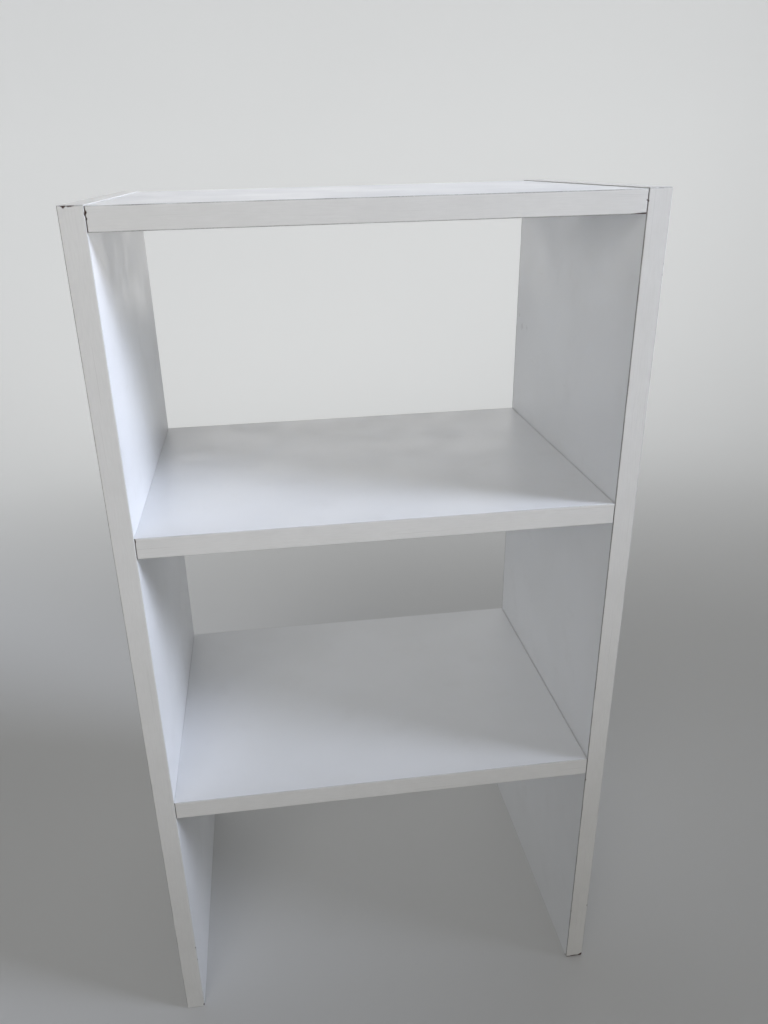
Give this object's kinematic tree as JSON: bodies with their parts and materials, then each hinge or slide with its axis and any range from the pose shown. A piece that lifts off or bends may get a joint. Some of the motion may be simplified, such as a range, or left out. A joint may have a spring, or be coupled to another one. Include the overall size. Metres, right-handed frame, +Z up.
{
  "type": "open storage unit",
  "caption": "Narrow open-backed storage unit of white laminated chipboard, with a top board and shelves butted between full-height sides to make open cubbies and an open space at the floor.",
  "frame": {"origin": "middle of the footprint, on the floor", "axes": "+Z up, X across the unit with +X to the right seen from the front, front faces -Y"},
  "size_m": [0.439, 0.3, 0.8],
  "materials": {
    "board": "satin white melamine-faced chipboard",
    "edge_tape": "satin off-white edge tape",
    "zinc_screw": "zinc plated",
    "screw_cap": "white moulded plastic",
    "beech": "bare beech"
  },
  "bodies": {
    "root": {"side_left": "board", "tape_side_left_front": "edge_tape", "tape_side_left_back": "edge_tape", "tape_side_left_top": "edge_tape", "side_right": "board", "tape_side_right_front": "edge_tape", "tape_side_right_back": "edge_tape", "tape_side_right_top": "edge_tape", "top_board": "board", "tape_top_board_front": "edge_tape", "tape_top_board_back": "edge_tape", "middle_shelf": "board", "tape_middle_shelf_front": "edge_tape", "tape_middle_shelf_back": "edge_tape", "lower_shelf": "board", "tape_lower_shelf_front": "edge_tape", "tape_lower_shelf_back": "edge_tape", "screw_top_board_left_front": "zinc_screw", "cap_top_board_left_front": "screw_cap", "dowel_top_board_left_front": "beech", "screw_top_board_left_back": "zinc_screw", "cap_top_board_left_back": "screw_cap", "dowel_top_board_left_back": "beech", "screw_top_board_right_front": "zinc_screw", "cap_top_board_right_front": "screw_cap", "dowel_top_board_right_front": "beech", "screw_top_board_right_back": "zinc_screw", "cap_top_board_right_back": "screw_cap", "dowel_top_board_right_back": "beech", "screw_middle_shelf_left_front": "zinc_screw", "cap_middle_shelf_left_front": "screw_cap", "dowel_middle_shelf_left_front": "beech", "screw_middle_shelf_left_back": "zinc_screw", "cap_middle_shelf_left_back": "screw_cap", "dowel_middle_shelf_left_back": "beech", "screw_middle_shelf_right_front": "zinc_screw", "cap_middle_shelf_right_front": "screw_cap", "dowel_middle_shelf_right_front": "beech", "screw_middle_shelf_right_back": "zinc_screw", "cap_middle_shelf_right_back": "screw_cap", "dowel_middle_shelf_right_back": "beech", "screw_lower_shelf_left_front": "zinc_screw", "cap_lower_shelf_left_front": "screw_cap", "dowel_lower_shelf_left_front": "beech", "screw_lower_shelf_left_back": "zinc_screw", "cap_lower_shelf_left_back": "screw_cap", "dowel_lower_shelf_left_back": "beech", "screw_lower_shelf_right_front": "zinc_screw", "cap_lower_shelf_right_front": "screw_cap", "dowel_lower_shelf_right_front": "beech", "screw_lower_shelf_right_back": "zinc_screw", "cap_lower_shelf_right_back": "screw_cap", "dowel_lower_shelf_right_back": "beech"}
  },
  "joints": []
}
